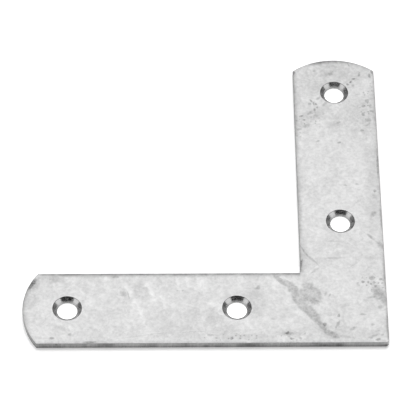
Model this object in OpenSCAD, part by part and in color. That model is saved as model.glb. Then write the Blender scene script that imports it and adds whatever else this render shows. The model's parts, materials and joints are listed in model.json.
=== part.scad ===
// Flat corner brace: one L-shaped blank punched from zinc-coated steel sheet,
// with a crowned tip on each arm and a row of countersunk screw holes along each arm.
// Millimetres. The origin lies on the back face, where the two arms' centre lines cross.
// One arm runs along -X, the other along +Y, and the countersinks open towards +Z.

/* [Arms] */
// Length of each arm, from the outer side of the corner to the crown of the tip
arm_length = 100; // [70:1:160]
// Width of both arms
arm_width = 23.5; // [16:0.5:32]
// Height of the arc at a tip, from its shoulders to its crown
tip_crown = 4; // [2:0.25:7]

/* [Sheet] */
// Thickness of the sheet
sheet_thickness = 2; // [1.8:0.1:3]
// Radius that the punch draws onto the upper edges
edge_roll = 0.3; // [0.1:0.05:0.6]

/* [Corner] */
// Radius at the outer side of the corner, seen from above
outer_corner_radius = 1; // [0.8:0.1:4]
// Radius at the inner side of the corner, seen from above
inner_corner_radius = 0.4; // [0.2:0.1:2]

/* [Screw holes] */
// Number of screw holes along each arm
holes_per_arm = 2; // [2:1:3]
// Distance from a tip's crown to the middle of the screw hole nearest to it
tip_hole_inset = 12.25; // [9:0.25:16]
// Distance from the outer side of the corner to the middle of the screw hole nearest to it
corner_hole_inset = 41.25; // [32:0.25:56]
// Diameter of a screw hole at its narrowest
hole_diameter = 5.5; // [5.1:0.1:6.5]
// Diameter of the countersink at the upper face
countersink_diameter = 8; // [7:0.1:8.4]
// Full angle of the countersink
countersink_angle = 90; // [85:1:120]
// Height over which the punch breaks out at the back of a screw hole
breakout_height = 0.45; // [0.1:0.05:0.5]
// Amount by which the break-out widens the hole on each side
breakout_width = 0.35; // [0.05:0.05:0.4]

/* [Hidden] */
$fn = 96;

// How far a cutting shape runs past the face that it cuts
overrun = 1;

half_width = arm_width / 2;
// Distance along an arm's centre line from the origin to the tip's crown
reach = arm_length - half_width;
// Radius of the arc through both shoulders and the crown of a tip
tip_radius = (half_width * half_width + tip_crown * tip_crown) / (2 * tip_crown);
// Distance along an arm's centre line from the origin to the middle of the tip's arc
tip_centre = reach - tip_radius;
// Distances along an arm's centre line from the origin to its first and last screw holes
first_hole = corner_hole_inset - half_width;
last_hole = reach - tip_hole_inset;
hole_spacing = (last_hole - first_hole) / (holes_per_arm - 1);
// Depth of the countersink's cone below the upper face
countersink_depth = (countersink_diameter - hole_diameter) / 2 / tan(countersink_angle / 2);

// Half of the sheet's section, from its middle to an edge at x = run, with the upper edge rolled over.
module edge_section(run) {
    square([run - edge_roll, sheet_thickness]);
    square([run, sheet_thickness - edge_roll]);
    translate([run - edge_roll, sheet_thickness - edge_roll])
        circle(r = edge_roll);
}

// A strip of sheet along +Y, with both of its long upper edges rolled over.
module rolled_strip(strip_length) {
    translate([0, strip_length, 0])
        rotate([90, 0, 0])
            linear_extrude(height = strip_length)
                union() {
                    edge_section(half_width);
                    mirror([1, 0]) edge_section(half_width);
                }
}

// A disc of sheet, with its upper rim rolled over.
module rolled_disc(radius) {
    rotate_extrude() edge_section(radius);
}

// One arm along +Y, from just inside the corner to its crowned tip.
module arm() {
    arm_start = half_width - outer_corner_radius;
    translate([0, -arm_start, 0])
        intersection() {
            rolled_strip(arm_start + reach);
            union() {
                translate([0, arm_start + tip_centre, 0])
                    rolled_disc(tip_radius);
                translate([-arm_width, -overrun, -overrun])
                    cube([2 * arm_width, overrun + arm_start + tip_centre, sheet_thickness + 2 * overrun]);
            }
        }
}

// The rounded outer side of the corner, which closes both arms.
module outer_corner() {
    translate([half_width - outer_corner_radius, outer_corner_radius - half_width, 0])
        rolled_disc(outer_corner_radius);
}

// The web in the angle between the arms, left by the rounded corner of the punch.
module inner_corner() {
    corner_x = -half_width - inner_corner_radius;
    corner_y = half_width + inner_corner_radius;
    web = inner_corner_radius + edge_roll;
    difference() {
        translate([corner_x, corner_y - web, 0])
            cube([web, web, sheet_thickness]);
        translate([corner_x, corner_y, 0])
            rotate_extrude() {
                translate([0, -overrun])
                    square([inner_corner_radius, sheet_thickness + 2 * overrun]);
                difference() {
                    translate([0, sheet_thickness - edge_roll])
                        square([web, edge_roll + overrun]);
                    translate([web, sheet_thickness - edge_roll])
                        circle(r = edge_roll);
                }
            }
    }
}

// What the punch and the countersink take out for one screw.
module screw_hole_cut() {
    back_diameter = hole_diameter + 2 * breakout_width;
    translate([0, 0, -overrun])
        cylinder(d = hole_diameter, h = sheet_thickness + 2 * overrun);
    translate([0, 0, -overrun])
        cylinder(d = back_diameter, h = overrun);
    cylinder(d1 = back_diameter, d2 = hole_diameter, h = breakout_height);
    translate([0, 0, sheet_thickness - countersink_depth])
        cylinder(d1 = hole_diameter, d2 = countersink_diameter, h = countersink_depth);
    translate([0, 0, sheet_thickness])
        cylinder(d = countersink_diameter, h = overrun);
}

module corner_plate() {
    color([0.86, 0.87, 0.88])
        difference() {
            union() {
                arm();
                mirror([1, 1, 0]) arm();
                outer_corner();
                inner_corner();
            }
            for (i = [0 : holes_per_arm - 1]) {
                place = first_hole + i * hole_spacing;
                translate([0, place, 0]) screw_hole_cut();
                translate([-place, 0, 0]) screw_hole_cut();
            }
        }
}

corner_plate();
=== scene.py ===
# Flat corner brace of galvanised sheet: the looks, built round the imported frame.
import json
import math

import bmesh
import bpy
from mathutils import Matrix, Vector


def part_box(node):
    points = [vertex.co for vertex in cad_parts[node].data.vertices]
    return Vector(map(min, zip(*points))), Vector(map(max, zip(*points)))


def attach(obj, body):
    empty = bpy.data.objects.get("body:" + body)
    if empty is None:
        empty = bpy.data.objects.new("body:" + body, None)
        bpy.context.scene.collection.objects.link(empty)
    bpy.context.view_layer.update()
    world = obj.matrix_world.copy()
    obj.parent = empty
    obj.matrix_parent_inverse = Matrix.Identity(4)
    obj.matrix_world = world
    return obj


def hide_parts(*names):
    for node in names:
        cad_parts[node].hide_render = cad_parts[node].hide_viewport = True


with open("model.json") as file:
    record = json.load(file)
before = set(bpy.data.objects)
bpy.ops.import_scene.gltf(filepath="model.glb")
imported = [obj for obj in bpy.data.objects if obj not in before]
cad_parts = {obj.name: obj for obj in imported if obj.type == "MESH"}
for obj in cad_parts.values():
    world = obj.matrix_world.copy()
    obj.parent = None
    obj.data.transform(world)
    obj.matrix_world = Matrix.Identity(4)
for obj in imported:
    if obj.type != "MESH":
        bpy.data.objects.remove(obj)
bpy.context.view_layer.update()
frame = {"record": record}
bores = [mount for mount in frame["record"]["mounts"] if mount["kind"] == "bore"]
mm = 0.001  # the frame is in metres, the dictionaries below are in millimetres


# colours are written as sRGB hex and used linear
def hexColour(code):
    parts = [int(code[i:i + 2], 16) / 255 for i in (1, 3, 5)]
    return [c / 12.92 if c <= 0.04045 else ((c + 0.055) / 1.055) ** 2.4 for c in parts] + [1.0]


# adds a node, sets its properties, and fills its inputs with values or with other nodes' outputs
def addNode(tree, kind, inputs=None, **settings):
    node = tree.nodes.new(kind)
    for name, value in settings.items():
        setattr(node, name, value)
    for name, value in (inputs or {}).items():
        if isinstance(value, bpy.types.NodeSocket):
            tree.links.new(value, node.inputs[name])
        else:
            node.inputs[name].default_value = value
    return node


def newMaterial(name):
    material = bpy.data.materials.new(name)
    material.use_nodes = True
    material.node_tree.nodes.clear()
    return material, material.node_tree


# an object at the origin, with its place in its mesh
def newObject(name, bm):
    mesh = bpy.data.meshes.new(name)
    bm.to_mesh(mesh)
    bm.free()
    made = bpy.data.objects.new(name, mesh)
    bpy.context.scene.collection.objects.link(made)
    return made


# camera, at the photo's viewing angle
cameraSetup = {
    "azimuth": -1.51,       # degrees, 0 looks along +Y
    "elevation": 52.81,     # degrees above the horizon
    "roll": 1.0,            # degrees
    "aim": (-37.11, 35.97, 0.0),
    "distance": 844.9,
    "lens": 260.24,         # a long lens
    "sensor": 36,           # its width
    "clip": (10, 20000),    # nearest and farthest that it sees
}


def placeCamera():
    azimuth, elevation, roll = (math.radians(cameraSetup[k]) for k in ("azimuth", "elevation", "roll"))
    turn = (Matrix.Rotation(azimuth, 4, "Z") @ Matrix.Rotation(math.pi / 2 - elevation, 4, "X")
            @ Matrix.Rotation(roll, 4, "Z"))
    data = bpy.data.cameras.new("productCamera")
    data.sensor_width = cameraSetup["sensor"]
    data.lens = cameraSetup["lens"]
    data.clip_start, data.clip_end = (limit * mm for limit in cameraSetup["clip"])
    camera = bpy.data.objects.new("productCamera", data)
    place = Vector(cameraSetup["aim"]) * mm + turn.to_3x3() @ Vector((0, 0, cameraSetup["distance"] * mm))
    camera.matrix_world = Matrix.Translation(place) @ turn
    bpy.context.scene.collection.objects.link(camera)
    bpy.context.scene.camera = camera


placeCamera()
print("camera placed")


# plate, punched from sheet and countersunk: its length, width and thickness come from the frame
plate = {
    "tipCrown": 4.0,            # height of a tip's arc, from shoulders to crown
    "edgeRoll": 0.3,            # radius that the punch drew onto the upper edge
    "outerCorner": 1.0,         # radii of the outline's corners
    "innerCorner": 0.4,
    "rimAcross": 8.0,           # countersink at the upper face
    "rimBreak": 0.05,           # blunted lip of the countersink
    "landTop": 0.75,            # where the countersink's cone ends, above the back face
    "breakoutTop": 0.45,        # where the punch's break-out starts, above the back face
    "breakoutWide": 0.35,       # how far the break-out widens the hole on each side
    "edgeWearAndShade": (1.0, 0.77, 0.6, 0.55),   # rubbed wear of the rolled edge with painted shade, the shade darkest on the far side: far, left, right and front sides
    "wearShadeTurn": 4,              # above 2 the wear and painted shade are weaker where the outline turns to the next side
    "wearShadeReach": 1.6,           # how far the wear and painted shade fade into the flat
    "zincEnds": 0.7,            # the zinc stops where the rolled edge's normal rises less than this
    "edgeStep": 1.6,            # length of the outline's segments
    "arcSegments": 6,           # least for each arc of the outline
    "rollSegments": 6,
    "holeSegments": 96,
    "mergeWithin": 0.001,
    "sharpFrom": 26,            # degrees between two faces, from which their edge is sharp
}


def stepTo(bm, vert, place):
    made = bmesh.ops.extrude_vert_indiv(bm, verts=[vert])["verts"][0]
    made.co = place
    return made


def sweepTo(bm, vert, centre, angle):
    radius = (vert.co - Vector(centre)).length
    steps = max(plate["arcSegments"], round(abs(angle) * radius / (plate["edgeStep"] * mm)))
    return bmesh.ops.spin(bm, geom=[vert], cent=centre, axis=(0, 0, 1), angle=angle, steps=steps,
                          use_duplicate=False)["geom_last"][0]


def plateOutline(bm, halfWidth, reach):
    crown, outer, inner = (plate[k] * mm for k in ("tipCrown", "outerCorner", "innerCorner"))
    tipRadius = (halfWidth ** 2 + crown ** 2) / (2 * crown)
    tipCentre = reach - tipRadius
    shoulder = reach - crown
    tipAngle = 2 * math.asin(halfWidth / tipRadius)
    # clockwise, seen from above: up the inner side of the +Y arm, round its tip, and back to the corner
    first = bm.verts.new((-halfWidth, halfWidth + inner, 0))
    vert = stepTo(bm, first, (-halfWidth, shoulder, 0))
    vert = sweepTo(bm, vert, (0, tipCentre, 0), -tipAngle)
    vert = stepTo(bm, vert, (halfWidth, outer - halfWidth, 0))
    vert = sweepTo(bm, vert, (halfWidth - outer, outer - halfWidth, 0), -math.pi / 2)
    vert = stepTo(bm, vert, (-shoulder, -halfWidth, 0))
    vert = sweepTo(bm, vert, (-tipCentre, 0, 0), -tipAngle)
    vert = stepTo(bm, vert, (-halfWidth - inner, halfWidth, 0))
    sweepTo(bm, vert, (-halfWidth - inner, halfWidth + inner, 0), math.pi / 2)
    bmesh.ops.remove_doubles(bm, verts=bm.verts[:], dist=plate["mergeWithin"] * mm)
    # short segments, so that the wear and painted shade can change from one side to the next
    for edge in bm.edges[:]:
        cuts = int(edge.calc_length() / (plate["edgeStep"] * mm))
        if cuts > 1:
            bmesh.ops.subdivide_edges(bm, edges=[edge], cuts=cuts)


# opens a flat face at the given height, and fills it again round the screw holes
def refillRound(bm, face, places, radius, height):
    rim = face.edges[:]
    up = face.normal.copy()
    bmesh.ops.delete(bm, geom=[face], context="FACES_ONLY")
    rings = []
    for place in places:
        made = bmesh.ops.create_circle(bm, segments=plate["holeSegments"], radius=radius,
                                       matrix=Matrix.Translation((place.x, place.y, height)))["verts"]
        rings.append(list(dict.fromkeys(edge for vert in made for edge in vert.link_edges)))
    edges = rim + [edge for ring in rings for edge in ring]
    bmesh.ops.triangle_fill(bm, edges=edges, use_beauty=True, normal=up)
    return rings


# draws one ring of edges down to the next height and radius, and paints the new wall
def drawDown(bm, ring, place, radius, nextRadius, drop, paint):
    made = bmesh.ops.extrude_edge_only(bm, edges=ring)["geom"]
    verts = [item for item in made if isinstance(item, bmesh.types.BMVert)]
    for item in made:
        if isinstance(item, bmesh.types.BMFace):
            item.material_index = paint
            item.smooth = True
    scale = nextRadius / radius
    bmesh.ops.scale(bm, verts=verts, vec=(scale, scale, 1),
                    space=Matrix.Translation((-place.x, -place.y, 0)))
    bmesh.ops.translate(bm, verts=verts, vec=(0, 0, -drop))
    return [item for item in made if isinstance(item, bmesh.types.BMEdge)]


# paints how dark the rolled edge is, by the side that it faces: rubbed wear, and painted shade that is
# darkest on the far side
def paintWearAndShade(bm, faces):
    wearAndShade = bm.verts.layers.float.new("edgeWearAndShade")
    far, left, right, front = plate["edgeWearAndShade"]
    turn = plate["wearShadeTurn"]
    for vert in {vert for face in faces for vert in face.verts}:
        out = sum((face.normal for face in vert.link_faces), Vector((0, 0, 0))).to_2d().normalized()
        vert[wearAndShade] = (out.y ** turn * (far if out.y > 0 else front)
                      + out.x ** turn * (right if out.x > 0 else left))
    return wearAndShade


# places of the three finishes in the plate's list of materials
zincPaint, edgePaint, conePaint = range(3)


def buildPlate():
    halfWidth, reach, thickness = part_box("corner_plate")[1]
    places = [Vector(bore["pos_m"]) for bore in bores]
    boreRadius = bores[0]["dims"]["r_mm"] * mm
    roll, wearShadeReach, within = (plate[k] * mm for k in ("edgeRoll", "wearShadeReach", "mergeWithin"))
    rim, lip = plate["rimAcross"] * mm / 2, plate["rimBreak"] * mm
    land, breakout, flare = (plate[k] * mm for k in ("landTop", "breakoutTop", "breakoutWide"))

    bm = bmesh.new()
    plateOutline(bm, halfWidth, reach)
    bottom = bmesh.ops.contextual_create(bm, geom=bm.edges[:])["faces"][0]
    grown = bmesh.ops.extrude_face_region(bm, geom=[bottom], use_keep_orig=True)["geom"]
    raised = [item for item in grown if isinstance(item, bmesh.types.BMVert)]
    bmesh.ops.translate(bm, verts=raised, vec=(0, 0, thickness))
    bmesh.ops.recalc_face_normals(bm, faces=bm.faces[:])
    for face in bm.faces:
        flat = abs(face.normal.z) > 0.5
        face.material_index = zincPaint if flat else edgePaint
        face.smooth = not flat

    # the punch rolls the upper edge over
    upper = [e for e in bm.edges if min(v.co.z for v in e.verts) > thickness / 2]
    rolled = bmesh.ops.bevel(bm, geom=upper, offset=roll, offset_type="OFFSET",
                             segments=plate["rollSegments"], profile=0.5, affect="EDGES",
                             material=-1, clamp_overlap=True)["faces"]
    for face in rolled:
        face.material_index = zincPaint if face.normal.z > plate["zincEnds"] else edgePaint
        face.smooth = True
    wearAndShade = paintWearAndShade(bm, rolled)
    top = max(bm.faces, key=lambda f: f.calc_center_median().z)
    # a ring that carries the rolled edge's shading, and its wear and painted shade, into the flat
    ring = bmesh.ops.inset_region(bm, faces=[top], thickness=wearShadeReach, use_even_offset=True)["faces"]
    for face in ring:
        face.smooth = True
    # behind the outer corner the ring's inner side meets in a point
    inset = roll + wearShadeReach
    for vert in top.verts:
        vert[wearAndShade] = 0
        vert.co.x = min(vert.co.x, halfWidth - inset)
        vert.co.y = max(vert.co.y, inset - halfWidth)
    bmesh.ops.remove_doubles(bm, verts=top.verts[:], dist=within)

    # the ring is as high as the flat inside it, which is the larger face
    top = max(bm.faces, key=lambda f: (round(f.calc_center_median().z, 7), f.calc_area()))
    bottom = min(bm.faces, key=lambda f: f.calc_center_median().z)
    topRings = refillRound(bm, top, places, rim + lip, thickness)
    refillRound(bm, bottom, places, boreRadius + flare, 0)
    for place, ring in zip(places, topRings):
        ring = drawDown(bm, ring, place, rim + lip, rim - lip, lip * 2, conePaint)
        ring = drawDown(bm, ring, place, rim - lip, boreRadius, thickness - lip * 2 - land, conePaint)
        ring = drawDown(bm, ring, place, boreRadius, boreRadius, land - breakout, edgePaint)
        drawDown(bm, ring, place, boreRadius, boreRadius + flare, breakout, edgePaint)
    bmesh.ops.remove_doubles(bm, verts=bm.verts[:], dist=within)
    bmesh.ops.recalc_face_normals(bm, faces=bm.faces[:])

    piece = newObject("cornerPlate", bm)
    piece.data.set_sharp_from_angle(angle=math.radians(plate["sharpFrom"]))
    return piece


cornerPlate = buildPlate()
print("plate built:", len(cornerPlate.data.polygons), "faces")


# noise values that patterns are stretched from: the soft spread holds nearly all of them, and the
# hard one cuts off a little at both ends
softSpread = (0.3, 0.7)
hardSpread = (0.35, 0.65)

# galvanised sheet, hot-dip zinc on cold-rolled steel: a dull, cloudy pale grey with no mirror image,
# wiped and handled, so that it carries grey stains, pale veins and small dark pits
zinc = {
    "tones": ["#606060", "#888888", "#B0B0B0", "#D8D8D8", "#FFFFFF"],   # even steps, dark to pale
    "meanTone": 228,                # sRGB level of the clean sheet
    "roughness": 0.4,
    "cloud": (9.0, 4),              # size in mm, strength in sRGB levels
    "wisp": (3.0, 8),
    "grain": (0.8, 9),              # the real grain is about 0.1 mm, too fine to show
    "grainRelief": (0.3, 0.02),     # strength, and height in mm
    "spangle": (5.5, 3),            # crystals of the zinc
    "wornShadeTone": -70,                # sRGB levels, where the rolled edge is rubbed and shade is painted on it
    "wornShadeFade": 2.6,                # above 1 the wear and painted shade stay near the edge
    "edgeUnevenness": (3.0, 0.7, 1.3),       # size in mm of the unevenness of the edge's wear and painted shade, least and most
    "mottle": (0.6, 0.7, 1.3),      # size in mm of the breaks in the marks, weakest and strongest
    "warp": (1.0, 0.3),             # size and reach in mm of the raggedness of the marks
    "marksFrom": 1.5,               # marks lie on the upper side only, above this height in mm
    "pits": (1.1, 0.3, -44),        # spacing, size, strength: real ones are 0.1 to 0.2 mm, too fine to show
    "pitShare": 0.5,                # share of the spaces that hold a pit, where the coat is pitted
    "pittedSoft": 0.9,              # softness of the outlines of the pitted places
    # strength in sRGB levels and softness of each kind, then x, y, length, width and turn of its marks
    "marks": {
        "stain": (-26, 0.45, [    # the wedge-shaped stain across the corner
            (-17.4, 9.1, 5.1, 1.4, -46), (-14.0, 6.3, 4.9, 2.7, -57), (-12.2, 2.0, 7.7, 2.8, -59),
            (-9.3, -1.6, 7.9, 2.7, -55), (-6.3, -6.3, 4.3, 1.6, -57), (-4.2, -8.7, 4.4, 1.8, -26),
            (-8.8, 5.6, 7.3, 3.5, -53), (-10.9, 3.8, 5.2, 4.0, -71), (-8.4, 2.4, 3.7, 2.5, -51),
            (-15.2, 8.1, 3.7, 1.5, -36),
        ]),
        "smear": (-12, 0.8, [    # its darker parts, mostly along one side
            (-13.7, 2.8, 3.2, 0.9, -65), (-10.0, -2.4, 5.1, 0.9, -51), (-7.7, -4.7, 4.2, 1.2, -53),
            (-6.2, -6.8, 2.0, 1.2, -59), (-8.3, 6.2, 2.0, 1.5, -64), (-6.9, 4.8, 1.0, 0.9, 19),
            (-10.5, 5.8, 1.2, 0.9, 2), (-7.8, 2.5, 1.8, 0.8, -20), (-6.6, 3.3, 1.4, 0.9, -61),
            (-13.0, 5.3, 1.9, 1.8, 72), (-8.4, -1.4, 4.2, 1.3, -69), (-14.4, 6.3, 2.1, 0.9, -73),
            (-13.9, 7.5, 2.1, 0.7, -31), (-16.3, 7.9, 1.9, 0.8, -38), (-17.6, 9.3, 2.4, 0.6, -42),
            (-3.1, -9.9, 1.5, 0.7, 20), (-3.9, -8.6, 2.6, 1.0, 0), (-1.2, -9.6, 2.0, 1.0, -13),
            (1.2, -10.0, 3.3, 0.8, -10),
        ]),
        "film": (-10, 0.6, [    # broad grey patches
            (-43.8, 13.0, 55.3, 4.2, 1), (-76.6, 12.4, 4.6, 3.4, -2), (-41.2, -7.9, 21.8, 5.5, 1),
            (-0.4, -8.5, 24.5, 4.6, 0), (-86.4, 3.7, 7.5, 6.1, -85), (-38.4, -3.3, 9.1, 8.2, 1),
            (-24.7, 1.0, 10.1, 5.5, 88), (-55.7, 4.9, 5.4, 4.6, -89), (-61.6, -8.1, 4.5, 4.0, -2),
            (-14.0, 27.3, 17.5, 3.1, 87), (11.1, 68.9, 20.6, 3.5, 86), (2.1, 85.9, 2.1, 2.0, 74),
            (-56.2, 6.9, 3.8, 3.4, -89), (5.8, 65.9, 16.5, 15.3, 74), (9.7, 52.5, 6.8, 4.7, 85),
            (-6.6, 67.2, 13.8, 4.2, 34), (-1.2, 82.5, 18.2, 15.0, 11), (-29.9, -9.6, 15.7, 1.8, 0),
            (9.4, 39.4, 25.3, 3.8, 87), (9.8, 4.1, 6.1, 3.5, -73), (-8.9, 2.3, 5.2, 2.2, -13),
            (-10.5, 17.0, 8.8, 2.2, 87),
        ]),
        "soot": (-58, 0.6, [    # black smudges and pits
            (-85.9, 8.1, 3.8, 1.3, 60), (-11.5, 83.4, 1.4, 0.8, 71), (5.8, 81.1, 1.1, 0.5, 0),
            (4.9, 79.9, 0.9, 0.7, 58), (-5.4, 71.8, 0.6, 0.5, 83), (-9.0, 65.9, 0.6, 0.5, 53),
            (11.2, 83.7, 1.4, 0.6, -71), (-15.9, -8.5, 1.0, 0.6, 43), (-1.7, -2.8, 1.0, 0.8, 81),
        ]),
        "specks": (-42, 0.7, [    # dark specks
            (9.4, 72.8, 1.4, 1.2, 83), (8.0, 67.9, 1.2, 0.9, 84), (7.5, 62.0, 1.1, 0.8, 19),
            (-6.8, 72.9, 1.3, 0.5, -61), (-6.1, 71.9, 1.2, 0.5, -78), (-7.2, 71.8, 1.0, 0.8, 3),
            (-5.9, 69.6, 0.9, 0.6, 77), (-5.1, 70.5, 0.6, 0.5, 83), (-9.7, 67.3, 1.2, 0.6, 40),
            (0.8, 57.6, 1.0, 0.6, 1), (7.5, 82.8, 1.4, 0.6, 73), (10.5, 82.3, 1.4, 0.7, -81),
            (4.0, 79.1, 1.0, 0.6, -58), (7.9, 9.8, 1.3, 1.3, 40), (6.8, 8.5, 0.8, 0.7, 81),
            (5.4, 8.5, 0.9, 0.9, 61), (8.5, 8.3, 0.8, 0.7, 81), (8.9, 7.2, 0.8, 0.7, 70),
            (10.4, 9.5, 0.9, 0.9, 60), (10.7, 8.1, 0.7, 0.7, 74), (7.6, 7.8, 0.7, 0.6, 60),
            (8.7, -10.8, 1.3, 0.7, 14), (-80.0, -10.0, 1.3, 0.8, -1), (-69.8, -11.3, 3.3, 0.6, 2),
            (-5.6, -5.7, 1.2, 1.0, 82), (-2.1, -5.8, 2.5, 0.7, 64), (-14.7, -10.4, 1.2, 0.6, 0),
            (-31.1, -10.2, 0.9, 0.8, 86), (-11.5, 14.0, 4.6, 0.4, 80), (10.2, 40.2, 1.0, 0.8, 81),
            (11.3, 49.0, 9.6, 0.4, 90),
        ]),
        "spots": (-26, 0.8, [    # grey spots, the last three along the right edge
            (-85.2, 7.9, 3.9, 2.2, 64), (8.2, 24.1, 2.0, 0.7, -40), (-0.7, 83.1, 1.6, 1.1, 76),
            (-5.4, 84.2, 1.0, 0.9, 79), (4.5, 86.6, 1.6, 0.5, -70), (8.3, 71.2, 1.6, 1.0, 73),
            (10.3, 71.0, 1.4, 0.9, -81), (10.7, 69.0, 1.3, 0.6, -28), (9.5, 65.7, 1.6, 1.2, 2),
            (9.2, 64.0, 1.5, 0.6, 26), (-4.6, 74.0, 1.3, 0.7, 54), (-2.9, 71.8, 1.7, 0.9, 53),
            (-7.2, 68.6, 1.6, 0.8, 41), (-5.6, 67.5, 1.6, 1.2, 42), (-8.4, 63.7, 2.1, 1.1, 28),
            (-10.5, 62.5, 1.5, 0.7, 14), (0.8, 64.9, 1.4, 0.6, 34), (-5.4, 58.1, 1.1, 0.7, 31),
            (5.6, 78.6, 1.0, 0.8, 84), (3.9, 8.0, 0.8, 0.8, 66), (7.8, 3.4, 2.6, 0.7, 12),
            (9.9, 2.9, 2.3, 1.0, -13), (-5.0, 4.5, 1.2, 0.6, 68), (-3.9, 4.1, 1.0, 0.5, 66),
            (-12.4, -10.3, 0.8, 0.7, 3), (-15.5, -9.6, 1.3, 0.6, -39), (8.0, -9.4, 2.0, 0.7, 24),
            (6.7, -10.2, 1.2, 0.5, 0), (9.9, -9.2, 0.8, 0.7, 9), (-80.1, 9.6, 2.8, 2.0, 15),
            (-60.6, 4.7, 1.9, 1.4, -35), (-59.3, 4.3, 2.2, 0.4, -78), (-45.8, 5.8, 0.5, 0.5, 89),
            (-44.3, 5.8, 0.5, 0.5, 89), (-75.2, -8.7, 0.9, 0.8, -5), (-62.9, 10.5, 1.8, 0.8, 0),
            (-36.8, -9.1, 1.4, 0.6, 0), (9.2, 5.5, 5.4, 2.4, -72), (10.5, 3.3, 3.3, 1.4, -78),
            (9.9, 0.0, 1.3, 1.1, 5), (4.8, -2.4, 1.6, 0.6, 0), (2.1, -7.0, 1.6, 0.8, 38),
            (7.4, -5.9, 1.0, 0.8, 5), (8.7, -7.9, 1.4, 0.5, 13), (-15.7, -8.8, 4.3, 1.0, 6),
            (-35.3, -10.1, 1.8, 0.5, 0), (-23.6, 6.7, 1.5, 1.0, 62), (-19.7, -3.8, 0.9, 0.5, -14),
            (-2.9, -10.1, 2.1, 0.8, 0), (5.2, 42.5, 1.1, 0.6, 1), (1.9, 42.2, 0.9, 0.6, 1),
            (9.4, 32.0, 2.0, 1.2, 53), (10.7, 21.3, 2.9, 1.3, -71), (-10.4, 18.9, 4.6, 0.5, -62),
            (-8.2, 16.0, 4.4, 0.5, -49), (11.5, 31.0, 8.0, 0.7, 90), (11.5, 11.0, 9.0, 0.7, 90),
            (11.5, -6.5, 10.0, 0.7, 90),
        ]),
        "wipes": (-13, 0.9, [    # faint grey wipes and scratches
            (-16.3, -8.2, 3.1, 1.8, 7), (-1.2, 85.9, 4.0, 1.3, 0), (0.3, 84.2, 2.6, 1.0, 14),
            (-2.5, 82.8, 3.4, 1.3, 20), (6.1, 75.1, 2.4, 0.4, 10), (-1.1, 87.2, 10.7, 1.1, 2),
            (-77.5, 9.5, 2.1, 1.5, -1), (-83.0, 10.2, 2.8, 0.9, 0), (-78.7, -6.2, 5.3, 1.0, -24),
            (-81.8, -9.9, 3.3, 0.3, 0), (-55.7, -9.2, 15.1, 0.3, 8), (-41.8, -8.0, 10.0, 0.3, 3),
            (-25.5, 6.5, 3.7, 0.4, 0), (-7.8, 12.3, 4.4, 0.4, 41), (-18.2, 10.5, 2.8, 0.4, 12),
            (0.0, 0.4, 2.3, 1.6, 44), (-0.8, 64.2, 2.9, 2.3, 3), (5.2, 36.4, 2.0, 0.5, 41),
            (8.8, 23.2, 6.3, 0.5, -46), (8.1, 16.9, 3.1, 1.6, 14), (-2.9, 16.7, 6.8, 0.5, 2),
            (-2.2, 22.5, 3.4, 0.4, 0), (-7.9, 13.6, 4.1, 0.5, 43), (2.8, 14.1, 3.0, 0.4, 35),
            (9.8, 38.1, 1.4, 1.4, 61),
        ]),
        "veins": (12, 0.9, [    # pale veins
            (-69.5, 8.1, 2.9, 0.9, -31), (-65.5, 9.8, 2.5, 1.2, -14), (-64.8, 6.4, 2.8, 1.2, -58),
            (-59.9, 7.3, 6.0, 1.5, -56), (-58.5, 5.4, 1.8, 1.5, -84), (-57.2, 1.5, 5.4, 2.1, -68),
            (-55.6, -2.3, 4.8, 1.0, -78), (-54.6, 7.6, 1.0, 0.7, -90), (-52.8, 4.8, 7.6, 1.0, -69),
            (-49.8, 2.5, 4.8, 0.9, -78), (-45.6, 8.5, 3.0, 0.9, -83), (-43.0, 8.5, 3.0, 0.8, -79),
            (-39.8, 8.1, 3.4, 1.5, -80), (-37.5, 0.6, 3.7, 1.2, 47), (-38.3, -2.9, 3.8, 1.2, 56),
            (-36.1, 1.5, 2.1, 0.9, -59), (-75.7, -6.1, 4.7, 1.2, -25), (-12.3, -2.1, 2.9, 1.5, -16),
            (-12.3, 3.2, 1.6, 0.8, 21), (-10.1, 1.8, 2.1, 0.6, -4), (-8.6, 12.7, 4.4, 0.7, 43),
        ]),
    },
    # pitted places: x, y, length, width and turn
    "pitted": [
        (8.1, 7.9, 7.5, 5.5, -32), (-14.8, -9.3, 7.9, 2.6, 0), (-30.8, -9.8, 16.9, 2.2, 0),
        (9.2, 70.4, 13.6, 5.1, 87), (-8.6, 64.3, 8.8, 5.8, 33),
    ],
}


# 1 inside any of the ellipses, 0 outside, and half on their outlines: the higher soft is, the wider
# the outlines fade
def insideAny(tree, plan, ellipses, soft):
    nearest = 0.0
    for x, y, length, width, turn in ellipses:
        local = addNode(tree, "ShaderNodeMapping", {
            "Vector": plan, "Location": (x, y, 0), "Rotation": (0, 0, math.radians(turn)),
            "Scale": (length / (2 - soft), width / (2 - soft), 1)}, vector_type="TEXTURE")
        ball = addNode(tree, "ShaderNodeTexGradient", {"Vector": local.outputs[0]},
                       gradient_type="SPHERICAL")
        nearest = addNode(tree, "ShaderNodeMath", {0: nearest, 1: ball.outputs[1]},
                          operation="MAXIMUM").outputs[0]
    return addNode(tree, "ShaderNodeMapRange", {"Value": nearest, "From Max": soft},
                   interpolation_type="SMOOTHSTEP").outputs[0]


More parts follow.
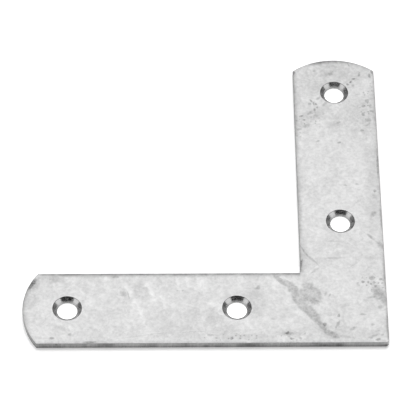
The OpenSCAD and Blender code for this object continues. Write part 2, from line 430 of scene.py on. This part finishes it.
def galvanisedSheet():
    material, tree = newMaterial("galvanisedSheet")
    place = addNode(tree, "ShaderNodeTexCoord").outputs["Object"]
    inMm = addNode(tree, "ShaderNodeVectorMath", {0: place, "Scale": 1 / mm}, operation="SCALE").outputs[0]

    # stretches a pattern to as much below zero as above it, and adds it to the tone
    def layer(tone, pattern, spread, strength):
        stretched = addNode(tree, "ShaderNodeMapRange", {
            "Value": pattern, "From Min": spread[0], "From Max": spread[1],
            "To Min": -strength, "To Max": strength})
        return addNode(tree, "ShaderNodeMath", {0: tone, 1: stretched.outputs[0]},
                       operation="ADD").outputs[0]

    size, strength = zinc["cloud"]
    cloud = addNode(tree, "ShaderNodeTexNoise", {
        "Vector": inMm, "Scale": 1 / size, "Detail": 3.0, "Roughness": 0.5, "Distortion": 0.8})
    tone = layer(zinc["meanTone"], cloud.outputs[0], softSpread, strength)
    size, strength = zinc["wisp"]
    wisp = addNode(tree, "ShaderNodeTexNoise", {
        "Vector": inMm, "Scale": 1 / size, "Detail": 3.0, "Roughness": 0.6, "Distortion": 1.5})
    tone = layer(tone, wisp.outputs[0], softSpread, strength)
    size, strength = zinc["grain"]
    grain = addNode(tree, "ShaderNodeTexNoise", {
        "Vector": inMm, "Scale": 1 / size, "Detail": 2.0, "Roughness": 0.6})
    tone = layer(tone, grain.outputs[0], softSpread, strength)
    size, strength = zinc["spangle"]
    spangle = addNode(tree, "ShaderNodeTexVoronoi", {"Vector": inMm, "Scale": 1 / size})
    cell = addNode(tree, "ShaderNodeSeparateColor", {0: spangle.outputs["Color"]})
    tone = layer(tone, cell.outputs[0], (0, 1), strength)

    # marks: soft-edged ellipses on a plan that noise has pulled out of true, broken up by a finer noise
    size, reach = zinc["warp"]
    wander = addNode(tree, "ShaderNodeTexNoise", {"Vector": inMm, "Scale": 1 / size, "Detail": 3.0})
    centred = addNode(tree, "ShaderNodeVectorMath", {
        0: wander.outputs["Color"], 1: (0.5, 0.5, 0.5)}, operation="SUBTRACT")
    pulled = addNode(tree, "ShaderNodeVectorMath", {
        0: centred.outputs[0], 1: (2 * reach, 2 * reach, 0), 2: inMm}, operation="MULTIPLY_ADD")
    plan = addNode(tree, "ShaderNodeVectorMath", {0: pulled.outputs[0], 1: (1, 1, 0)},
                   operation="MULTIPLY").outputs[0]
    marked = 0.0
    for strength, soft, ellipses in zinc["marks"].values():
        marked = addNode(tree, "ShaderNodeMath", {
            0: insideAny(tree, plan, ellipses, soft), 1: strength, 2: marked},
            operation="MULTIPLY_ADD").outputs[0]
    size, weak, strong = zinc["mottle"]
    breaks = addNode(tree, "ShaderNodeTexNoise", {"Vector": inMm, "Scale": 1 / size, "Detail": 2.0})
    mottle = addNode(tree, "ShaderNodeMapRange", {
        "Value": breaks.outputs[0], "From Min": hardSpread[0], "From Max": hardSpread[1],
        "To Min": weak, "To Max": strong})
    marked = addNode(tree, "ShaderNodeMath", {0: marked, 1: mottle.outputs[0]}, operation="MULTIPLY")

    # pits: a dot in some of the cells of a scatter, inside the pitted places
    spacing, size, strength = zinc["pits"]
    scatter = addNode(tree, "ShaderNodeTexVoronoi", {"Vector": plan, "Scale": 1 / spacing},
                      voronoi_dimensions="2D")
    chance = addNode(tree, "ShaderNodeSeparateColor", {0: scatter.outputs["Color"]})
    depth = addNode(tree, "ShaderNodeMapRange", {
        "Value": chance.outputs[0], "From Min": 1 - zinc["pitShare"],
        "From Max": 1 - zinc["pitShare"] / 2})
    dot = addNode(tree, "ShaderNodeMapRange", {
        "Value": scatter.outputs["Distance"], "From Min": size / spacing,
        "From Max": 0.5 * size / spacing}, interpolation_type="SMOOTHSTEP")
    pits = addNode(tree, "ShaderNodeMath", {0: depth.outputs[0], 1: dot.outputs[0]}, operation="MULTIPLY")
    pits = addNode(tree, "ShaderNodeMath", {
        0: pits.outputs[0], 1: insideAny(tree, plan, zinc["pitted"], zinc["pittedSoft"])},
        operation="MULTIPLY")
    marked = addNode(tree, "ShaderNodeMath", {
        0: pits.outputs[0], 1: strength, 2: marked.outputs[0]}, operation="MULTIPLY_ADD")
    height = addNode(tree, "ShaderNodeSeparateXYZ", {0: inMm}).outputs[2]
    above = addNode(tree, "ShaderNodeMath", {0: height, 1: zinc["marksFrom"]}, operation="GREATER_THAN")
    tone = addNode(tree, "ShaderNodeMath", {0: marked.outputs[0], 1: above.outputs[0], 2: tone},
                   operation="MULTIPLY_ADD")

    # wear of the rolled edge and the painted shade along it, as painted on the mesh
    wearAndShade = addNode(tree, "ShaderNodeAttribute", attribute_name="edgeWearAndShade")
    wornAndShaded = addNode(tree, "ShaderNodeMath", {0: wearAndShade.outputs["Fac"], 1: zinc["wornShadeFade"]},
                   operation="POWER")
    size, least, most = zinc["edgeUnevenness"]
    edgeUnevennessNoise = addNode(tree, "ShaderNodeTexNoise", {"Vector": inMm, "Scale": 1 / size, "Detail": 2.0})
    edgeUnevenness = addNode(tree, "ShaderNodeMapRange", {
        "Value": edgeUnevennessNoise.outputs[0], "From Min": hardSpread[0], "From Max": hardSpread[1],
        "To Min": least, "To Max": most})
    wornAndShaded = addNode(tree, "ShaderNodeMath", {0: wornAndShaded.outputs[0], 1: edgeUnevenness.outputs[0]}, operation="MULTIPLY")
    tone = addNode(tree, "ShaderNodeMath", {0: wornAndShaded.outputs[0], 1: zinc["wornShadeTone"], 2: tone.outputs[0]},
                   operation="MULTIPLY_ADD")

    # the tone in sRGB levels finds its colour on a ramp of greys
    first, last = (int(zinc["tones"][i][1:3], 16) for i in (0, -1))
    spot = addNode(tree, "ShaderNodeMapRange", {
        "Value": tone.outputs[0], "From Min": first, "From Max": last})
    ramp = addNode(tree, "ShaderNodeValToRGB", {0: spot.outputs[0]})
    stops = ramp.color_ramp.elements
    while len(stops) < len(zinc["tones"]):
        stops.new(0.5)
    for i, code in enumerate(zinc["tones"]):
        stops[i].position = i / (len(zinc["tones"]) - 1)
        stops[i].color = hexColour(code)

    strength, rise = zinc["grainRelief"]
    relief = addNode(tree, "ShaderNodeBump", {
        "Height": grain.outputs[0], "Strength": strength, "Distance": rise * mm})
    surface = addNode(tree, "ShaderNodeBsdfPrincipled", {
        "Base Color": ramp.outputs[0], "Metallic": 1.0, "Roughness": zinc["roughness"],
        "Normal": relief.outputs[0]})
    addNode(tree, "ShaderNodeOutputMaterial", {"Surface": surface.outputs["BSDF"]})
    return material


# cut edges, bare steel where the punch sheared the blank: a burnished upper band over a torn, darker
# lower band, both scored from top to bottom by the punch
shearedSteel = {
    "burnished": "#919191",
    "torn": "#8A8A8A",
    "roughness": (0.34, 0.5),       # burnished, torn
    "tornBelow": 0.75,              # mm above the back face
    "tornRagged": 0.5,              # mm at most between the border's highest and lowest points
    "tornFade": 0.1,                # mm on each side of the border, where one band turns into the other
    "scoreWidth": 0.35,             # mm between the punch's scores: real ones are finer, too fine to show
    "scoreStretch": 0.12,           # below 1 the scores run from top to bottom
    "scoreShade": 0.2,              # how much darker and paler the scores are
    "scoreRelief": (0.5, 0.03),     # strength, and height in mm
    "drag": (5.0, 0.14),            # size in mm and strength of the paler places, where zinc was dragged down
    "stainShade": 0.4,              # how much darker the stains, and the painted shade of the dent, are
    "stainSoft": 0.9,
    # stains of the front edge, the first being the painted shade of a dent at its top: distance along X,
    # height, length, depth and turn
    "stainsAndDentShade": [
        (-70.0, 2.3, 4.1, 0.8, 2), (-65.5, 1.4, 4.6, 1.6, 0), (-78.8, 1.7, 0.5, 1.2, 0),
        (-38.1, 0.6, 1.4, 1.2, 0), (-27.0, 1.0, 4.9, 1.5, 0), (-8.1, 2.0, 2.4, 0.8, 0),
        (-6.0, 0.7, 3.3, 1.2, -6), (-1.9, 0.8, 1.9, 1.6, 0), (10.9, 0.6, 1.4, 1.4, 0),
    ],
}


def shearedEdge():
    material, tree = newMaterial("shearedSteel")
    place = addNode(tree, "ShaderNodeTexCoord").outputs["Object"]
    inMm = addNode(tree, "ShaderNodeVectorMath", {0: place, "Scale": 1 / mm}, operation="SCALE").outputs[0]
    drawn = addNode(tree, "ShaderNodeVectorMath", {0: inMm, 1: (1, 1, shearedSteel["scoreStretch"])},
                    operation="MULTIPLY")
    score = addNode(tree, "ShaderNodeTexNoise", {
        "Vector": drawn.outputs[0], "Scale": 1 / shearedSteel["scoreWidth"], "Detail": 3.0,
        "Roughness": 0.6})

    # the border between the bands follows the scores up and down
    x, y, height = addNode(tree, "ShaderNodeSeparateXYZ", {0: inMm}).outputs
    swing, fade = shearedSteel["tornRagged"], shearedSteel["tornFade"]
    ragged = addNode(tree, "ShaderNodeMath", {0: score.outputs[0], 1: swing, 2: height},
                     operation="MULTIPLY_ADD")
    border = shearedSteel["tornBelow"] + swing / 2
    zone = addNode(tree, "ShaderNodeMapRange", {
        "Value": ragged.outputs[0], "From Min": border - fade, "From Max": border + fade})
    steel = addNode(tree, "ShaderNodeMix", {
        0: zone.outputs[0], 6: hexColour(shearedSteel["torn"]), 7: hexColour(shearedSteel["burnished"])},
        data_type="RGBA")
    smooth, rough = shearedSteel["roughness"]
    gloss = addNode(tree, "ShaderNodeMapRange", {
        "Value": zone.outputs[0], "To Min": rough, "To Max": smooth})

    # scores, dragged zinc, stains and a dent's painted shade each make the steel darker or paler
    amount = shearedSteel["scoreShade"]
    scored = addNode(tree, "ShaderNodeMapRange", {
        "Value": score.outputs[0], "From Min": softSpread[0], "From Max": softSpread[1],
        "To Min": 1 - amount, "To Max": 1 + amount})
    size, amount = shearedSteel["drag"]
    drag = addNode(tree, "ShaderNodeTexNoise", {"Vector": inMm, "Scale": 1 / size, "Detail": 2.0})
    dragged = addNode(tree, "ShaderNodeMapRange", {
        "Value": drag.outputs[0], "From Min": hardSpread[0], "From Max": hardSpread[1],
        "To Min": 1 - amount, "To Max": 1 + amount})
    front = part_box("corner_plate")[0].y / mm
    behind = addNode(tree, "ShaderNodeMath", {0: y, 1: front}, operation="SUBTRACT")
    wall = addNode(tree, "ShaderNodeCombineXYZ", {0: x, 1: height, 2: behind.outputs[0]}).outputs[0]
    clean = addNode(tree, "ShaderNodeMapRange", {
        "Value": insideAny(tree, wall, shearedSteel["stainsAndDentShade"], shearedSteel["stainSoft"]),
        "To Min": 1, "To Max": 1 - shearedSteel["stainShade"]})
    shade = addNode(tree, "ShaderNodeMath", {0: scored.outputs[0], 1: dragged.outputs[0]},
                    operation="MULTIPLY")
    shade = addNode(tree, "ShaderNodeMath", {0: shade.outputs[0], 1: clean.outputs[0]},
                    operation="MULTIPLY")
    shaded = addNode(tree, "ShaderNodeVectorMath", {0: steel.outputs[2], "Scale": shade.outputs[0]},
                     operation="SCALE")

    strength, rise = shearedSteel["scoreRelief"]
    relief = addNode(tree, "ShaderNodeBump", {
        "Height": score.outputs[0], "Strength": strength, "Distance": rise * mm})
    surface = addNode(tree, "ShaderNodeBsdfPrincipled", {
        "Base Color": shaded.outputs[0], "Metallic": 1.0, "Roughness": gloss.outputs[0],
        "Normal": relief.outputs[0]})
    addNode(tree, "ShaderNodeOutputMaterial", {"Surface": surface.outputs["BSDF"]})
    return material


# countersinks, turned after punching with a conical bit: bright and fine-ringed at the rim, duller
# and rougher towards the bottom, where chips dragged
turned = {
    "colour": "#BCBCBC",
    "grazing": "#787878",           # tool marks shade one another where the eye grazes the cone
    "lipLine": "#787878",              # a thin darker line painted on the lip of the countersink
    "lipLineFrom": 1.9,                # mm above the back face
    "roughness": (0.18, 0.5),       # at the rim, at the bottom of the cone
    "cone": (0.75, 1.25),           # heights in mm between which the finish changes
    # streaks where the bit chattered: size in mm, flatness and added roughness, then the noise
    # values between which they set in
    "chatter": (0.8, 4.0, 0.08, 0.5, 0.65),
    "ringPitch": 0.16,              # mm of height from one tool ring to the next: real ones are finer
    "ringRelief": (0.3, 0.02),      # strength, and height in mm
}


def turnedCone():
    material, tree = newMaterial("turnedSteel")
    place = addNode(tree, "ShaderNodeTexCoord").outputs["Object"]
    inMm = addNode(tree, "ShaderNodeVectorMath", {0: place, "Scale": 1 / mm}, operation="SCALE").outputs[0]
    height = addNode(tree, "ShaderNodeSeparateXYZ", {0: inMm}).outputs[2]
    low, high = turned["cone"]
    smooth, rough = turned["roughness"]
    gloss = addNode(tree, "ShaderNodeMapRange", {
        "Value": height, "From Min": low, "From Max": high, "To Min": rough, "To Max": smooth})
    size, flatness, added, faint, full = turned["chatter"]
    flattened = addNode(tree, "ShaderNodeVectorMath", {0: inMm, 1: (1, 1, flatness)},
                        operation="MULTIPLY")
    patches = addNode(tree, "ShaderNodeTexNoise", {
        "Vector": flattened.outputs[0], "Scale": 1 / size, "Detail": 2.0})
    chatter = addNode(tree, "ShaderNodeMapRange", {
        "Value": patches.outputs[0], "From Min": faint, "From Max": full, "To Min": 0.0, "To Max": added})
    gloss = addNode(tree, "ShaderNodeMath", {0: gloss.outputs[0], 1: chatter.outputs[0]}, operation="ADD")
    rings = addNode(tree, "ShaderNodeTexNoise", {
        "W": height, "Scale": 1 / turned["ringPitch"], "Detail": 2.0}, noise_dimensions="1D")
    strength, rise = turned["ringRelief"]
    relief = addNode(tree, "ShaderNodeBump", {
        "Height": rings.outputs[0], "Strength": strength, "Distance": rise * mm})
    lip = addNode(tree, "ShaderNodeMath", {0: height, 1: turned["lipLineFrom"]}, operation="GREATER_THAN")
    steel = addNode(tree, "ShaderNodeMix", {
        0: lip.outputs[0], 6: hexColour(turned["colour"]), 7: hexColour(turned["lipLine"])}, data_type="RGBA")
    surface = addNode(tree, "ShaderNodeBsdfPrincipled", {
        "Base Color": steel.outputs[2], "Metallic": 1.0, "Roughness": gloss.outputs[0],
        "Specular Tint": hexColour(turned["grazing"]), "Normal": relief.outputs[0]})
    addNode(tree, "ShaderNodeOutputMaterial", {"Surface": surface.outputs["BSDF"]})
    return material


# in the order of zincPaint, edgePaint and conePaint
for material in (galvanisedSheet(), shearedEdge(), turnedCone()):
    cornerPlate.data.materials.append(material)
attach(cornerPlate, "root")
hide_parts("corner_plate")
print("finishes on")


# studio: a white tent over white paper, a lamp from behind for the shadow, two cloths and two
# softboxes for the metal to mirror
studio = {
    "floorSize": 8000,
    "floorDrop": 0.02,              # keeps the paper clear of the back face
    "floorColour": "#FFFFFF",
    "floorGlow": 0.2,               # added to the paper as seen and reflected
    "holeGlow": 0.6,                # glow added under the screw holes: painted light that keeps the paper there white, out of the plate's shade
    "holeReach": 5,                 # how far round the middle of each hole
    "tentWhite": 1.0,               # the tent as seen and reflected
    "tentLight": 0.55,              # the tent as it lights the floor
    "keyLift": 60,                  # degrees above the floor, from behind, so the shadow falls to the front
    "keySpread": 40,                # degrees
    "keyStrength": 2.0,
    "blackCloth": "#242424",
    "greyCloth": "#9A9A9A",
    "clothRadius": 1600,
    "clothSteps": (24, 8),          # segments across and up
    "frontFlag": (-53, 45, 25, 47),     # degrees round from the camera's side, degrees above the floor
    "backFlag": (88, 272, 0, 26),
    "sideBox": {"turn": 68, "lift": 27, "distance": 1300, "size": 800, "watts": 0.5},
}


# 1 for the rays that show the background: straight from the camera, in a reflection or through glass
def seenRays(tree):
    path = addNode(tree, "ShaderNodeLightPath")
    either = addNode(tree, "ShaderNodeMath", {
        0: path.outputs["Is Camera Ray"], 1: path.outputs["Is Glossy Ray"]}, operation="MAXIMUM")
    return addNode(tree, "ShaderNodeMath", {
        0: either.outputs[0], 1: path.outputs["Is Transmission Ray"]}, operation="MAXIMUM").outputs[0]


# matt white paper: nothing of it shows but the soft shadow of the plate
def studioFloor():
    bm = bmesh.new()
    bmesh.ops.create_grid(bm, x_segments=1, y_segments=1, size=studio["floorSize"] * mm / 2,
                          matrix=Matrix.Translation((0, 0, -studio["floorDrop"] * mm)))
    floor = newObject("studioFloor", bm)
    material, tree = newMaterial("whitePaper")
    paper = addNode(tree, "ShaderNodeBsdfDiffuse", {"Color": hexColour(studio["floorColour"])})
    # painted light: a glow under each hole keeps the paper white where it shows through, where the plate
    # would shade it
    place = addNode(tree, "ShaderNodeTexCoord").outputs["Object"]
    strength = studio["floorGlow"]
    for bore in bores:
        x, y = bore["pos_m"][:2]
        away = addNode(tree, "ShaderNodeVectorMath", {0: place, 1: (x, y, 0)}, operation="DISTANCE")
        inside = addNode(tree, "ShaderNodeMath", {
            0: away.outputs["Value"], 1: studio["holeReach"] * mm}, operation="LESS_THAN")
        strength = addNode(tree, "ShaderNodeMath", {
            0: inside.outputs[0], 1: studio["holeGlow"], 2: strength}, operation="MULTIPLY_ADD").outputs[0]
    glow = addNode(tree, "ShaderNodeEmission", {"Color": (1, 1, 1, 1), "Strength": strength})
    lit = addNode(tree, "ShaderNodeAddShader", {0: paper.outputs[0], 1: glow.outputs[0]})
    mixed = addNode(tree, "ShaderNodeMixShader", {0: seenRays(tree), 1: paper.outputs[0], 2: lit.outputs[0]})
    addNode(tree, "ShaderNodeOutputMaterial", {"Surface": mixed.outputs[0]})
    floor.data.materials.append(material)


# a matt woven cloth on a curved frame, part of a sphere round the plate
def flag(name, finish, spanFrom, spanTo, liftFrom, liftTo):
    radius, lift = studio["clothRadius"] * mm, math.radians(liftFrom)
    across, up = studio["clothSteps"]
    bm = bmesh.new()
    place = Matrix.Rotation(math.radians(spanFrom), 4, "Z")
    start = bm.verts.new(place @ Vector((0, -radius * math.cos(lift), radius * math.sin(lift))))
    side = place @ Vector((1, 0, 0))
    bmesh.ops.spin(bm, geom=[start], cent=(0, 0, 0), axis=side,
                   angle=-math.radians(liftTo - liftFrom), steps=up)
    bmesh.ops.spin(bm, geom=bm.verts[:] + bm.edges[:], cent=(0, 0, 0), axis=(0, 0, 1),
                   angle=math.radians(spanTo - spanFrom), steps=across)
    cloth = newObject(name, bm)
    cloth.visible_camera = False
    material, tree = newMaterial(finish)
    weave = addNode(tree, "ShaderNodeBsdfDiffuse", {"Color": hexColour(studio[finish])})
    addNode(tree, "ShaderNodeOutputMaterial", {"Surface": weave.outputs[0]})
    cloth.data.materials.append(material)


# a square softbox that faces the plate, on the right for a side of 1 and on the left for -1
def softbox(name, side):
    box = studio["sideBox"]
    turn, lift = math.radians(side * box["turn"]), math.radians(box["lift"])
    away = Vector((math.sin(turn) * math.cos(lift), -math.cos(turn) * math.cos(lift), math.sin(lift)))
    data = bpy.data.lights.new(name, "AREA")
    data.shape = "SQUARE"
    data.size = box["size"] * mm
    data.energy = box["watts"]
    lamp = bpy.data.objects.new(name, data)
    facing = away.to_track_quat("Z", "Y").to_matrix().to_4x4()
    lamp.matrix_world = Matrix.Translation(away * box["distance"] * mm) @ facing
    bpy.context.scene.collection.objects.link(lamp)


def studioWorld():
    world = bpy.data.worlds.new("whiteTent")
    world.use_nodes = True
    tree = world.node_tree
    tree.nodes.clear()
    strength = addNode(tree, "ShaderNodeMapRange", {
        "Value": seenRays(tree), "To Min": studio["tentLight"], "To Max": studio["tentWhite"]})
    tent = addNode(tree, "ShaderNodeBackground", {"Color": (1, 1, 1, 1), "Strength": strength.outputs[0]})
    addNode(tree, "ShaderNodeOutputWorld", {"Surface": tent.outputs[0]})
    bpy.context.scene.world = world


def keyLamp():
    data = bpy.data.lights.new("keyLamp", "SUN")
    data.energy = studio["keyStrength"]
    data.angle = math.radians(studio["keySpread"])
    lamp = bpy.data.objects.new("keyLamp", data)
    lamp.matrix_world = Matrix.Rotation(math.radians(studio["keyLift"] - 90), 4, "X")
    lamp.visible_glossy = False     # it lights the paper only: the metal shows the tent and the cloths
    bpy.context.scene.collection.objects.link(lamp)


studioFloor()
studioWorld()
keyLamp()
flag("frontFlag", "blackCloth", *studio["frontFlag"])
flag("backFlag", "greyCloth", *studio["backFlag"])
softbox("leftSoftbox", -1)
softbox("rightSoftbox", 1)
bpy.context.scene.view_settings.view_transform = "Standard"
print("studio lit")
